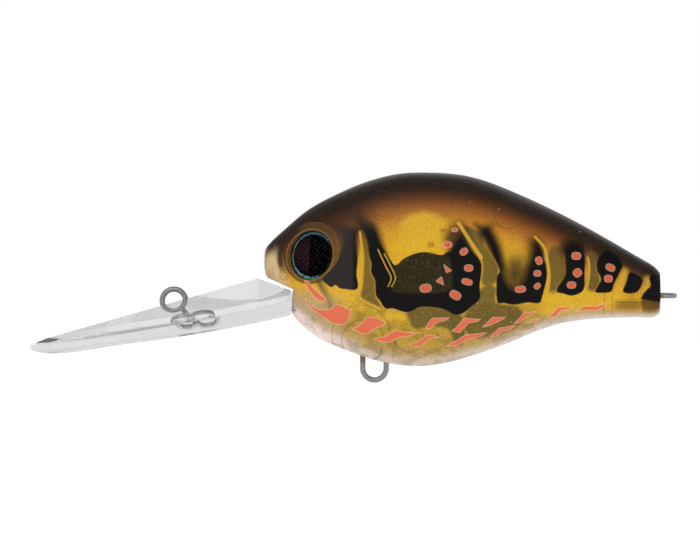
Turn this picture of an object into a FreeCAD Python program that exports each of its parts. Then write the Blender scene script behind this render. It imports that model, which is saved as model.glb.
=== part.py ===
import FreeCAD, Part
import math
import os

from FreeCAD import Vector

# A deep-diving crankbait: a hollow fish-shaped body in two welded halves, a clear
# diving bill that carries the line tie, two wire hangers for hooks, moulded eyes,
# a fixed ballast ball and three loose rattle balls.
#
# Millimetres. The numbers below are measured from the tip of the nose: x towards
# the tail, z up, and y = 0 is the plane where the two halves meet. save() moves
# every piece so that the centre of the line tie becomes the origin.

# ---- body: one row for each cross-section, nose to tail ----
# (x and z of the back, x and z of the belly, half width)
BODY_SECTIONS = [
    (0.0, 7.0, 0.0, 4.9, 1.0),
    (0.2, 8.6, 0.45, 3.4, 2.0),
    (1.1, 9.9, 1.25, 1.9, 2.9),
    (3.8, 12.4, 2.9, -0.6, 4.2),
    (7.8, 15.8, 6.2, -4.75, 6.3),
    (13.1, 18.8, 11.0, -8.5, 8.7),
    (18.4, 21.1, 17.0, -11.0, 9.9),
    (25.1, 22.9, 24.0, -13.0, 10.5),
    (30.0, 23.2, 30.0, -13.4, 10.6),
    (38.5, 22.5, 38.5, -11.7, 10.1),
    (46.5, 19.8, 46.7, -8.8, 9.1),
    (54.0, 16.4, 54.0, -5.9, 7.8),
    (61.0, 12.8, 61.3, -4.5, 6.4),
    (67.0, 9.4, 67.1, -4.2, 5.2),
    (72.0, 6.5, 72.0, -4.15, 4.3),
    (73.9, 5.3, 73.9, -4.05, 3.9),
    (74.9, 4.2, 74.9, -3.4, 3.3),
]
WALL = 1.2
SECTION_POINTS = 15
FIRST_HOLLOW_SECTION = 3
LAST_HOLLOW_SECTION = 14
REACH = 15.0          # further out sideways than any piece of the body

# ---- the notch under the chin that the bill's root fills ----
NOTCH = [(-4.0, 5.4), (0.6, 3.25), (5.4, 1.1), (5.0, -3.2), (6.7, -5.7), (3.0, -9.0), (-4.0, -9.0)]
NOTCH_WALL = [(-4.0, 6.5), (1.0, 4.45), (6.75, 1.95), (6.35, -3.0), (8.3, -5.8), (4.0, -11.0), (-4.0, -11.0)]

# ---- diving bill ----
# arched plate: (x, height of the underside at mid-width, thickness)
BLADE_SECTIONS = [
    (5.0, -3.6, 3.0),
    (-3.0, -5.3, 2.6),
    (-12.4, -6.75, 2.4),
    (-22.0, -7.9, 2.2),
    (-31.4, -9.1, 1.9),
    (-39.0, -10.3, 1.8),
    (-46.0, -9.9, 0.5),
]
BLADE_ARCH_R = 80.0
BLADE_HALF_W = 14.0
# outline from above, one side: (x, half width)
BLADE_OUTLINE = [
    (4.9, 4.6),
    (-3.0, 6.0),
    (-12.0, 8.7),
    (-22.0, 11.2),
    (-31.0, 12.1),
    (-38.5, 10.8),
    (-42.8, 7.2),
    (-44.6, 0.0),
]
# raised spine: (x, top height, half width on top, half width at the foot, height of the foot)
SPINE_SECTIONS = [
    (4.9, 0.9, 1.9, 4.0, -3.0),
    (-1.4, 3.15, 2.2, 5.2, -4.2),
    (-41.5, -8.25, 0.7, 2.0, -9.1),
    (-44.0, -9.3, 0.3, 0.8, -9.8),
]
TONGUE = {"x0": 4.8, "x1": 12.6, "z0": -3.1, "z1": 0.6, "half_w": 3.2}
TONGUE_PIN = (9.6, -1.25)
TONGUE_PIN_R = 1.2
FIT_GAP = 0.06

# ---- wires ----
WIRE_R = 0.525
EYE_BEND_R = 2.225    # from the middle of a wire eye to the middle of its wire
LINE_TIE = (-17.3, -1.1)
LINE_TIE_JUNCTION = (-13.9, -4.9)
LINE_TIE_KNOT_R = 0.75
LINE_TIE_LOOPS = [2.1, -1.7]   # bend radius of each anchor loop: + towards the body, - towards the tip
LINE_TIE_LOOP_TILT = 32.0      # degrees that the loops lean over, about the blade's length
BILL_SLOPE = 8.0      # degrees, the blade's fall towards its tip
BELLY_EYE = (20.8, -13.9)
BELLY_FRONT_TURN = (18.575, -10.62)
BELLY_FOOT_R = 0.9
BELLY_POST_TOP = -7.6
TAIL_EYE = (75.55, -0.1)
TAIL_LEGS_END = 68.6
TAIL_HOOK = 1.0

# ---- eyes ----
EYE_CENTRE = (8.5, 7.6)
EYE_YAW = 30.0        # degrees that the eye looks forward
EYE_RISE = 7.0        # degrees that the eye looks up
EYE_R = 4.7
EYE_SURFACE_Y = 6.95  # half width of the head at the middle of the eye
SOCKET_DEPTH = 1.5
SOCKET_BACKING = 1.0
FOIL_T = 0.3
PUPIL_R = 4.0
PUPIL_T = 0.3
DOME_RISE = 1.85

# ---- inside the body ----
BALLAST_BALL = (18.4, -5.9)
BALLAST_R = 3.97
BALLAST_CUP_R = 5.4
BALLAST_CUP_HALF = 4.6
BALLAST_GAP = 0.05
RATTLE_TUBE = (27.3, -8.1)
RATTLE_TUBE_R = 2.75
RATTLE_BORE_R = 2.2
RATTLE_R = 1.98
REAR_RATTLE_R = 1.59
REAR_RATTLES = {"rear_rattle_ball": (38.6, -8.35), "tail_rattle_ball": (50.0, -4.2)}
RIB_T = 1.2
RIBS = [(35.9, -3.0), (47.1, -0.9), (65.1, 2.4)]
DECK = [(35.3, -3.0), (65.1, 2.4)]
DECK_T = 1.0
# locating posts: (x, z, post radius, peg radius)
POSTS = [
    (22.6, 16.9, 2.7, 1.6),
    (46.1, 15.2, 2.7, 1.6),
    (41.3, -3.4, 1.5, 0.8),
    (61.9, 2.6, 1.3, 0.7),
]
PEG_LENGTH = 1.6
PEG_GAP = 0.04
HANGER_PAD = {"x0": 17.4, "x1": 24.4, "z0": -14.5, "z1": -9.6, "half_w": 2.4}
HANGER_POST = {"x0": 21.0, "x1": 24.4, "z0": -12.0, "z1": -6.4, "half_w": 1.9}
TAIL_BLOCK = {"x0": 66.6, "x1": 75.0, "z0": -5.0, "z1": 2.4, "half_w": 6.0}


def section_wire(back, belly, half_width):
    """Half of an oval across the body, closed by a straight edge on y = 0."""
    middle = (back + belly) * 0.5
    up = (back - belly) * 0.5
    points = []
    for i in range(SECTION_POINTS):
        angle = math.pi * i / (SECTION_POINTS - 1)
        sideways = Vector(0, -half_width * math.sin(angle), 0)
        points.append(middle + up * math.cos(angle) + sideways)
    points[0], points[-1] = back, belly
    curve = Part.BSplineCurve()
    outwards = Vector(0, -half_width * math.pi, 0)
    curve.interpolate(
        Points=points,
        Parameters=[i / (SECTION_POINTS - 1) for i in range(SECTION_POINTS)],
        InitialTangent=outwards,
        FinalTangent=-outwards,
        Scale=False,
    )
    return Part.Wire([curve.toShape(), Part.makeLine(belly, back)])


def half_body():
    """The solid left half of the body."""
    wires = []
    for back_x, back_z, belly_x, belly_z, half_width in BODY_SECTIONS:
        back = Vector(back_x, 0, back_z)
        belly = Vector(belly_x, 0, belly_z)
        wires.append(section_wire(back, belly, half_width))
    return Part.makeLoft(wires, True, False)


def half_hollow():
    """The space inside the left half, one wall thickness in from the surface."""
    wires = []
    for row in BODY_SECTIONS[FIRST_HOLLOW_SECTION:LAST_HOLLOW_SECTION]:
        back_x, back_z, belly_x, belly_z, half_width = row
        back = Vector(back_x, 0, back_z)
        belly = Vector(belly_x, 0, belly_z)
        inwards = (back - belly).normalize() * WALL * 1.1
        wires.append(section_wire(back - inwards, belly + inwards, half_width - WALL))
    return Part.makeLoft(wires, True, False)


def prism(outline, low_y, high_y):
    """An outline in the x-z plane, extruded across the body."""
    points = [Vector(x, low_y, z) for x, z in outline]
    face = Part.Face(Part.makePolygon(points + points[:1]))
    return face.extrude(Vector(0, high_y - low_y, 0))


def block(size, grow=0.0):
    """A block across the body, from the limits in one of the tables above."""
    half_w = size["half_w"] + grow
    low = Vector(size["x0"] - grow, -half_w, size["z0"] - grow)
    length = size["x1"] - size["x0"] + 2 * grow
    height = size["z1"] - size["z0"] + 2 * grow
    return Part.makeBox(length, 2 * half_w, height, low)


def cross_cylinder(place, radius, low_y, high_y):
    """A cylinder across the body, at (x, z)."""
    return Part.makeCylinder(radius, high_y - low_y, Vector(place[0], low_y, place[1]), Vector(0, 1, 0))


def eye_direction(side):
    """The way an eye looks; side is -1 on the left and 1 on the right."""
    yaw = math.radians(EYE_YAW)
    rise = math.radians(EYE_RISE)
    level = math.cos(rise)
    return Vector(-math.sin(yaw) * level, side * math.cos(yaw) * level, math.sin(rise))


def eye_disc(side, radius, depth, thickness):
    """A disc square to the eye's direction, its back `depth` below the skin of the head."""
    outwards = eye_direction(side)
    skin = Vector(EYE_CENTRE[0], side * EYE_SURFACE_Y, EYE_CENTRE[1])
    return Part.makeCylinder(radius, thickness, skin - outwards * depth, outwards)


def inner_features():
    """Ribs, deck, posts, cups and hanger supports that stand in the left half's hollow."""
    features = []
    for x, top in RIBS:
        rib = [(x - RIB_T / 2, -REACH), (x + RIB_T / 2, -REACH), (x + RIB_T / 2, top), (x - RIB_T / 2, top)]
        features.append(prism(rib, -REACH, 0))
    (x0, z0), (x1, z1) = DECK
    deck = [(x0, z0 - DECK_T), (x1, z1 - DECK_T), (x1, z1), (x0, z0)]
    features.append(prism(deck, -REACH, 0))
    for x, z, radius, _ in POSTS:
        features.append(cross_cylinder((x, z), radius, -REACH, 0))
    features.append(cross_cylinder(BALLAST_BALL, BALLAST_CUP_R, -BALLAST_CUP_HALF, 0))
    tube = cross_cylinder(RATTLE_TUBE, RATTLE_TUBE_R, -REACH, 0)
    features.append(tube.cut(cross_cylinder(RATTLE_TUBE, RATTLE_BORE_R, -REACH, 0)))
    tongue_housing = block(TONGUE, WALL)
    features.append(tongue_housing)
    features += [block(HANGER_PAD), block(HANGER_POST), block(TAIL_BLOCK)]
    return features


def half_shell():
    """The left half of the moulded body, before its locating pegs."""
    body = half_body()
    hollow = half_hollow()
    hollow = hollow.cut(prism(NOTCH_WALL, -REACH, REACH))
    hollow = hollow.cut(eye_disc(-1, EYE_R + 1.0, SOCKET_DEPTH + SOCKET_BACKING, REACH))
    for feature in inner_features():
        hollow = hollow.cut(feature)
    shell = body.cut(hollow)
    shell = shell.cut(prism(NOTCH, -REACH, REACH))
    shell = shell.cut(eye_disc(-1, EYE_R, SOCKET_DEPTH, REACH))
    shell = shell.cut(block(TONGUE, FIT_GAP))
    shell = shell.cut(Part.makeSphere(BALLAST_R + BALLAST_GAP, Vector(BALLAST_BALL[0], 0, BALLAST_BALL[1])))
    return shell


def body_shells(wires):
    """Both halves: the left one has pegs, the right one the holes that they enter."""
    left = half_shell()
    right = left.mirror(Vector(0, 0, 0), Vector(0, 1, 0))
    pin = cross_cylinder(TONGUE_PIN, TONGUE_PIN_R, -TONGUE["half_w"] - WALL, 0)
    left = left.fuse(pin)
    right = right.fuse(pin.mirror(Vector(0, 0, 0), Vector(0, 1, 0)))
    for x, z, _, peg_r in POSTS:
        left = left.fuse(cross_cylinder((x, z), peg_r, -WALL, PEG_LENGTH))
        right = right.cut(cross_cylinder((x, z), peg_r + PEG_GAP, -WALL, PEG_LENGTH + 0.3))
    for wire in wires:
        left = left.cut(wire)
        right = right.cut(wire)
    return left, right


def blade():
    """The thin arched plate of the bill, trimmed to its outline."""
    wires = []
    for x, z, thickness in BLADE_SECTIONS:
        sag = BLADE_ARCH_R - math.sqrt(BLADE_ARCH_R ** 2 - BLADE_HALF_W ** 2)
        low = [Vector(x, -BLADE_HALF_W, z - sag), Vector(x, 0, z), Vector(x, BLADE_HALF_W, z - sag)]
        high = [point + Vector(0, 0, thickness) for point in low]
        wires.append(Part.Wire([
            Part.Arc(*low).toShape(),
            Part.makeLine(low[2], high[2]),
            Part.Arc(*reversed(high)).toShape(),
            Part.makeLine(high[0], low[0]),
        ]))
    plate = Part.makeLoft(wires, True, False)
    near = [Vector(x, -half_width, 0) for x, half_width in BLADE_OUTLINE]
    far = [Vector(x, half_width, 0) for x, half_width in reversed(BLADE_OUTLINE[:-1])]
    curve = Part.BSplineCurve()
    curve.interpolate(near + far)
    outline = Part.Wire([curve.toShape(), Part.makeLine(far[-1], near[0])])
    trim = Part.Face(outline).extrude(Vector(0, 0, 2 * REACH))
    trim.translate(Vector(0, 0, -REACH))
    return plate.common(trim)


def spine():
    """The ridge along the middle of the bill, deepest at its root."""
    wires = []
    for x, top, half_top, half_foot, foot in SPINE_SECTIONS:
        points = [
            Vector(x, -half_foot, foot),
            Vector(x, half_foot, foot),
            Vector(x, half_top, top),
            Vector(x, -half_top, top),
        ]
        wires.append(Part.makePolygon(points + points[:1]))
    return Part.makeLoft(wires, True, True)


def diving_bill(wire):
    """Blade, spine and the tongue that the two halves of the body clamp."""
    bill = blade().fuse([spine(), block(TONGUE)]).removeSplitter()
    bill = bill.cut(cross_cylinder(TONGUE_PIN, TONGUE_PIN_R + FIT_GAP, -REACH, REACH))
    return bill.cut(wire)


def wire_along(edges):
    """Round wire along a path of straight runs and tangent arcs."""
    path = Part.Wire(edges)
    start = path.Edges[0].firstVertex().Point
    direction = path.Edges[0].tangentAt(path.Edges[0].FirstParameter)
    profile = Part.Wire([Part.makeCircle(WIRE_R, start, direction)])
    return path.makePipeShell([profile], True, False)


def in_plane(x, z):
    """A point on the middle plane."""
    return Vector(x, 0, z)


def line_tie_wire():
    """The line tie: an eye above the spine, a shank, and two leaning loops that hold in the plastic."""
    slope = math.radians(BILL_SLOPE)
    tilt = math.radians(LINE_TIE_LOOP_TILT)
    along_blade = Vector(math.cos(slope), 0, math.sin(slope))
    across_blade = Vector(-math.sin(slope), 0, math.cos(slope))
    loop_axis = across_blade * math.cos(tilt) + Vector(0, math.sin(tilt), 0)
    centre = in_plane(*LINE_TIE)
    junction = in_plane(*LINE_TIE_JUNCTION)
    down = (junction - centre).normalize()
    start = centre + down * EYE_BEND_R
    wire = Part.makeTorus(EYE_BEND_R, WIRE_R, centre, Vector(0, 1, 0))
    wire = wire.fuse(Part.makeCylinder(WIRE_R, (junction - start).Length, start, down))
    wire = wire.fuse(Part.makeSphere(LINE_TIE_KNOT_R, junction))
    for bend in LINE_TIE_LOOPS:
        wire = wire.fuse(Part.makeTorus(abs(bend), WIRE_R, junction + along_blade * bend, loop_axis))
    return wire


def belly_hanger_wire():
    """A U of wire: the front leg turns back inside the belly, the rear leg runs up its post."""
    x, z = BELLY_EYE
    front = x - EYE_BEND_R
    rear = x + EYE_BEND_R
    turn_x, turn_z = BELLY_FRONT_TURN
    corner = BELLY_FOOT_R
    shift = corner * (1 - math.sqrt(0.5))
    edges = [
        Part.makeLine(in_plane(turn_x + 2.0, turn_z), in_plane(front + corner, turn_z)),
        Part.Arc(
            in_plane(front + corner, turn_z),
            in_plane(front + shift, turn_z - shift),
            in_plane(front, turn_z - corner),
        ).toShape(),
        Part.makeLine(in_plane(front, turn_z - corner), in_plane(front, z)),
        Part.Arc(in_plane(front, z), in_plane(x, z - EYE_BEND_R), in_plane(rear, z)).toShape(),
        Part.makeLine(in_plane(rear, z), in_plane(rear, BELLY_POST_TOP)),
    ]
    return wire_along(edges)


def tail_hanger_wire():
    """A flat U of wire that lies level in the tail, with its two ends turned outwards."""
    x, z = TAIL_EYE
    side = EYE_BEND_R
    end = TAIL_LEGS_END
    reach = TAIL_HOOK * math.sqrt(0.5)
    edges = []
    for hand in (-1, 1):
        hook = Part.Arc(
            Vector(end - TAIL_HOOK, hand * (side + TAIL_HOOK), z),
            Vector(end - reach, hand * (side + TAIL_HOOK - reach), z),
            Vector(end, hand * side, z),
        )
        edges.append(hook.toShape())
        edges.append(Part.makeLine(Vector(end, hand * side, z), Vector(x, hand * side, z)))
    bend = Part.Arc(Vector(x, -side, z), Vector(x + side, 0, z), Vector(x, side, z))
    return wire_along(Part.sortEdges(edges + [bend.toShape()])[0])


def eye_pieces(side):
    """Printed foil, raised pupil and clear dome of one eye."""
    foil = eye_disc(side, EYE_R - 0.05, SOCKET_DEPTH, FOIL_T)
    pupil = eye_disc(side, PUPIL_R, SOCKET_DEPTH - FOIL_T, PUPIL_T)
    outwards = eye_direction(side)
    skin = Vector(EYE_CENTRE[0], side * EYE_SURFACE_Y, EYE_CENTRE[1])
    base = skin - outwards * (SOCKET_DEPTH - FOIL_T)
    dome_r = EYE_R - 0.1
    ball_r = (dome_r ** 2 + DOME_RISE ** 2) / (2 * DOME_RISE)
    ball = Part.makeSphere(ball_r, base + outwards * (DOME_RISE - ball_r))
    dome = ball.common(Part.makeCylinder(dome_r, DOME_RISE + 1.0, base, outwards))
    return foil, pupil, dome.cut(pupil)


def ball(place, radius):
    """A ball on the middle plane."""
    return Part.makeSphere(radius, in_plane(*place))


def save(name, shape):
    """Write one node, moved so that the line tie's centre is the origin."""
    piece = shape.copy()
    piece.translate(Vector(-LINE_TIE[0], 0, -LINE_TIE[1]))
    piece.exportStep(os.path.join("parts", name + ".step"))
    solids = len(piece.Solids)
    print(f"{name}: {solids} solid(s), {piece.Volume:.1f} mm3, valid {piece.isValid()}")


def main():
    os.makedirs("parts", exist_ok=True)
    tie = line_tie_wire()
    belly = belly_hanger_wire()
    tail = tail_hanger_wire()
    left, right = body_shells([belly, tail])
    save("body_shell_left", left)
    save("body_shell_right", right)
    save("diving_bill", diving_bill(tie))
    save("line_tie_wire", tie)
    save("belly_hanger_wire", belly)
    save("tail_hanger_wire", tail)
    for side, name in ((-1, "left"), (1, "right")):
        foil, pupil, dome = eye_pieces(side)
        save(name + "_eye_foil", foil)
        save(name + "_eye_pupil", pupil)
        save(name + "_eye_dome", dome)
    save("ballast_ball", ball(BALLAST_BALL, BALLAST_R))
    save("front_rattle_ball", ball(RATTLE_TUBE, RATTLE_R))
    for name, place in REAR_RATTLES.items():
        save(name, ball(place, REAR_RATTLE_R))


main()
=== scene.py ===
import math

import bmesh
import bpy
import numpy as np
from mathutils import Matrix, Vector
from mathutils.bvhtree import BVHTree


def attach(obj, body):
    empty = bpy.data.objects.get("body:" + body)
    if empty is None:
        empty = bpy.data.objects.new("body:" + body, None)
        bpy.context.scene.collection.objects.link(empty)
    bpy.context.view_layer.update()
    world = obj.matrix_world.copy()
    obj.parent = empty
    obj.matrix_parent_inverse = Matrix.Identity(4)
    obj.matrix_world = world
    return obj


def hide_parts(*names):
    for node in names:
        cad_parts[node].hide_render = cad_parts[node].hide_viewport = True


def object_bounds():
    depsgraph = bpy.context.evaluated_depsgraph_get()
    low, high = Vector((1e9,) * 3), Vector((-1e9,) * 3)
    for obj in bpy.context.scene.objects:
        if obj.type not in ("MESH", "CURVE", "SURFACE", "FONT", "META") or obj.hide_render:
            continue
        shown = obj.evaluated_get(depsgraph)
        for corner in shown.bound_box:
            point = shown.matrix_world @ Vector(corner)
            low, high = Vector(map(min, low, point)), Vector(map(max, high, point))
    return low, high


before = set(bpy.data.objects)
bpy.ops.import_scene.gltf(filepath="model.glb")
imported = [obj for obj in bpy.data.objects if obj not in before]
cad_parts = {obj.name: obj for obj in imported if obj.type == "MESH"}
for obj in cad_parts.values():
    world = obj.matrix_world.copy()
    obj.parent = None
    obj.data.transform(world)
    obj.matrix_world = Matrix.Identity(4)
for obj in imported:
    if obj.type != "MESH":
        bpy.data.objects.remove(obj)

CAD_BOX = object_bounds()

# A deep-diving crankbait: clear bill, painted body, moulded eyes and wire hangers.
# Shapes and patterns are in millimetres from the tip of the nose: x towards the
# tail, z up, and y = 0 is the plane where the two halves of the body meet.
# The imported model's origin is the line tie, so metres() adds NOSE.
MM = 0.001
NOSE = np.array([17.3, 0.0, 1.1])
SIDES = {-1: "left", 1: "right"}      # the lure's left side has y below 0
ROUND_STEPS = 5        # points per stretch of an eased outline

# ---- body: (x and z of the back, x and z of the belly, half width) ----
BODY_SECTIONS = [
    (0.0, 7.0, 0.0, 4.9, 1.0),
    (0.2, 8.6, 0.45, 3.4, 2.0),
    (1.1, 9.9, 1.25, 1.9, 2.9),
    (3.8, 12.4, 2.9, -0.6, 4.2),
    (7.8, 15.8, 6.2, -4.75, 6.3),
    (13.1, 18.8, 11.0, -8.5, 8.7),
    (18.4, 21.1, 17.0, -11.0, 9.9),
    (25.1, 22.9, 24.0, -13.0, 10.5),
    (30.0, 23.2, 30.0, -13.4, 10.6),
    (38.5, 22.5, 38.5, -11.7, 10.1),
    (46.5, 19.8, 46.7, -8.8, 9.1),
    (54.0, 16.4, 54.0, -5.9, 7.8),
    (61.0, 12.8, 61.3, -4.5, 6.4),
    (67.0, 9.4, 67.1, -4.2, 5.2),
    (72.0, 6.5, 72.0, -4.15, 4.3),
    (73.9, 5.3, 73.9, -4.05, 3.9),
    (74.9, 4.2, 74.9, -3.4, 3.3),
]
# the chin notch, where the bill's tongue goes in
NOTCH = [(-4.0, 5.4), (0.6, 3.25), (5.4, 1.1), (5.0, -3.2), (6.7, -5.7), (3.0, -9.0), (-4.0, -9.0)]
EYE_CENTRE = (8.5, 7.6)
EYE_SURFACE_Y = 6.95
EYE_YAW = 30.0         # degrees that the eye looks forwards
EYE_RISE = 7.0         # and upwards
EYE_R = 4.7
EYE_ARCS = [5.4, 5.85, 6.3]      # radii of the moulded arcs over and behind the eye
LENS_R = 4.58
LENS_RISE = 1.85
LENS_FOOT = -1.2       # height of the lens's spherical foot, from the skin of the head
LENS_BASE = -0.87      # its flat underside, just above the pupil
LENS_RIM = 0.06        # least height of the lens's edge above its underside
LENS_BEVEL = 0.03
LENS_RINGS = 18
LENS_SPOKES = 72
MERGE = 2e-6
FILM_GAP = 0.09        # height of the paint film above the moulded shell
FILM_STEP = 0.22       # spacing of its mesh
FILM_SEAM = 0.03       # half the hairline left open along the weld
CUT_MARGIN = 0.02      # how far its edges stay from the eye socket and the chin notch
UNCUT = 5.0            # stands for far away from the socket
EYE_FLANK_Y = 2.0      # the socket is cut only farther out than this
HEAD_END_X = 16.0      # and only ahead of this
GIRTH_RADIUS = 15.5    # of a circle about as long round as the body's thickest section
CONFORM_REACH = 6      # cells over which the film is eased onto the shell
CONFORM_SKIP = 3       # every third column of the grid is measured
SHELL_REACH = 1.6      # the shell is looked for this far down from 1 mm above the smooth body
CAP_STEPS = [0.94, 0.8, 0.6, 0.4, 0.2, 0.0]

# ---- moulded relief: half widths and heights ----
EYE_RIM_R = 4.98
EYE_RIM_RELIEF = (0.25, 0.17)
ARC_RELIEF = (0.17, 0.05)
RING_RELIEF = (0.16, 0.035)
PATCH_STEP = 0.1       # how far the dark patches stand out
RIDGE_RELIEF = 0.2      # height of a ridge as wide as the gill line
GILL_WIDTH = 0.46

# ---- paint: outlines of the black patches ----
HEAD_PATCH = [
    (13.9, 13.1), (17.1, 12.8), (17.9, 12.1), (17.8, 8.8), (17.6, 6.4), (17.4, 3.9), (17.7, 1.8),
    (17.1, 1.0), (15.4, 1.1), (14.2, 1.3), (13.4, 1.9), (12.7, 1.5), (11.9, 1.9), (10.9, 3.1),
    (12.4, 4.6), (13.7, 6.4), (14.3, 8.8), (14.2, 11.3),
]
FIRST_CLAW = [
    (18.3, 13.1), (20.6, 13.3), (21.7, 12.1), (22.4, 10.0), (23.2, 7.9), (24.3, 5.8), (25.2, 5.9),
    (26.3, 6.9), (28.6, 7.9), (30.6, 8.1), (33.0, 7.6), (34.0, 7.8), (35.2, 8.8), (36.2, 10.8),
    (37.3, 11.6), (37.8, 10.8), (39.2, 8.8), (40.8, 6.3), (40.9, 4.3), (40.6, 1.8), (40.6, -0.7),
    (39.1, -2.1), (37.8, -3.2), (36.6, -3.7), (35.6, -3.6), (34.6, -3.0), (33.2, -2.5), (31.0, -2.2),
    (29.1, -2.3), (27.8, -3.0), (26.6, -3.2), (25.4, -2.9), (24.2, -2.5), (22.8, -2.5), (21.8, -1.1),
    (21.0, 0.1), (20.9, 2.6), (20.1, 4.4), (20.2, 5.9), (19.6, 7.4), (18.9, 9.8), (18.4, 11.3),
]
SECOND_CLAW = [
    (40.6, 12.2), (41.9, 9.6), (42.9, 7.7), (44.4, 4.8), (43.8, 3.2), (43.9, -1.2), (45.2, -1.5),
    (47.2, -1.8), (49.7, -1.4), (51.9, -1.5), (52.5, -0.1), (53.3, 3.2), (53.2, 5.5), (52.8, 6.9),
    (52.5, 8.8), (51.4, 10.5), (49.9, 10.6), (46.0, 12.2), (43.0, 13.4),
]
THIRD_CLAW = [
    (56.2, 8.9), (56.5, 6.6), (56.6, 4.3), (55.9, 2.7), (55.2, 0.7), (56.4, 0.3), (58.2, -0.1),
    (60.3, 1.0), (60.5, 4.3), (60.6, 7.4), (60.1, 9.1), (58.3, 10.2),
]
FOURTH_CLAW = [
    (63.3, 7.3), (62.8, 6.0), (62.9, 4.6), (63.6, 2.9), (62.5, 0.7), (63.9, 0.4), (65.6, 0.7),
    (66.1, 2.1), (67.1, 4.1), (67.7, 5.7), (66.7, 7.6), (64.9, 8.6),
]
FIFTH_CLAW = [
    (69.2, 4.3), (71.4, 3.2), (71.4, 2.1), (70.6, 0.7), (69.2, 0.3), (67.8, 0.7), (68.4, 2.4),
]
TAIL_PATCH = [
    (73.0, 3.6), (76.0, 3.6), (76.0, -1.0), (71.7, -0.8), (71.4, -0.3), (72.3, 1.0), (73.1, 1.8),
]
BLACKS = [HEAD_PATCH, FIRST_CLAW, SECOND_CLAW, THIRD_CLAW, FOURTH_CLAW, FIFTH_CLAW, TAIL_PATCH]
RAISED_PATCHES = [FIRST_CLAW, SECOND_CLAW, THIRD_CLAW, FOURTH_CLAW, HEAD_PATCH]
# windows in the black, (blur, outline)
FIRST_WINDOW = [
    (24.5, 0.6), (25.0, 3.2), (24.4, 4.6), (25.4, 7.6), (30.6, 9.2), (34.4, 7.4), (35.2, 5.6),
    (35.3, 3.0), (34.4, 0.7),
]
SECOND_WINDOW = [
    (43.2, 13.0), (44.0, 10.7), (44.8, 8.6), (45.3, 6.0), (45.8, 3.6), (46.5, 2.1), (47.5, 1.6),
    (48.5, 3.0), (49.2, 5.0), (49.7, 6.6), (50.2, 8.6), (50.4, 10.4), (49.8, 13.0), (46.0, 14.5),
]
WINDOWS = [(0.35, FIRST_WINDOW), (1.3, SECOND_WINDOW)]

# ---- paint: moulded ridges with a painted gold highlight along each, (width, line) ----
GILL_LINE = [
    (18.0, 11.9), (18.3, 9.8), (18.5, 7.9), (18.5, 5.9), (18.4, 3.9), (18.3, 1.9),
    (17.8, -0.1), (18.4, -0.8), (19.9, -1.7), (21.9, -2.6),
]
HIGHLIGHTED_RIDGES = [
    (GILL_WIDTH, GILL_LINE),
    (0.26, [(21.4, 8.6), (22.9, 5.4), (23.9, 3.3), (23.3, 1.6)]),
    (0.26, [(22.6, 7.8), (24.1, 4.9), (24.7, 3.2), (24.0, 1.6)]),
    (0.72, [(36.6, 13.6), (37.7, 11.9), (39.3, 9.4), (40.9, 7.1)]),
    (0.5, [(51.1, 11.0), (52.8, 9.0), (53.4, 6.6), (53.8, 3.4), (53.4, 0.2)]),
    (0.4, [(61.1, 7.2), (61.4, 5.2), (61.2, 2.6), (60.8, 1.0)]),
]
# ---- paint: soft patches of translucent olive ----
OLIVE = [
    [
        (18.4, 11.3), (18.9, 9.8), (19.6, 7.4), (20.2, 5.9), (20.1, 4.4), (20.9, 2.6), (20.9, 0.2),
        (21.4, -1.1), (22.1, -2.5), (19.9, -1.6), (18.3, -0.5), (18.5, 1.9), (18.8, 6.4), (18.5, 9.8),
    ],
    [
        (26.8, -3.0), (28.2, -6.2), (31.0, -6.0), (34.6, -6.4), (36.2, -9.6), (37.6, -9.0),
        (37.2, -4.0), (31.0, -2.0),
    ],
    [
        (37.5, 12.9), (40.9, 11.6), (41.4, 9.6), (42.6, 7.7), (44.0, 4.9), (43.6, 2.3),
        (41.0, 2.1), (41.0, 6.6),
    ],
    [
        (40.9, 1.3), (43.6, 1.4), (43.8, -1.4), (47.6, -2.2), (49.0, -4.4), (46.6, -7.0),
        (40.0, -8.2), (37.6, -5.0),
    ],
    [
        (53.6, 8.0), (54.9, 9.4), (56.2, 8.0), (56.6, 4.4), (55.6, 2.0), (55.2, 0.2),
        (53.8, 0.6), (53.8, 3.6),
    ],
    [(61.6, 8.2), (63.2, 7.4), (62.6, 5.6), (63.4, 2.9), (62.4, 0.8), (61.0, 1.6), (61.4, 4.8)],
    [
        (9.6, 2.9), (11.0, 3.0), (12.6, 0.6), (14.6, -1.8), (13.2, -1.9), (12.2, -2.4),
        (11.6, -0.8), (10.6, 0.9),
    ],
]
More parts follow.
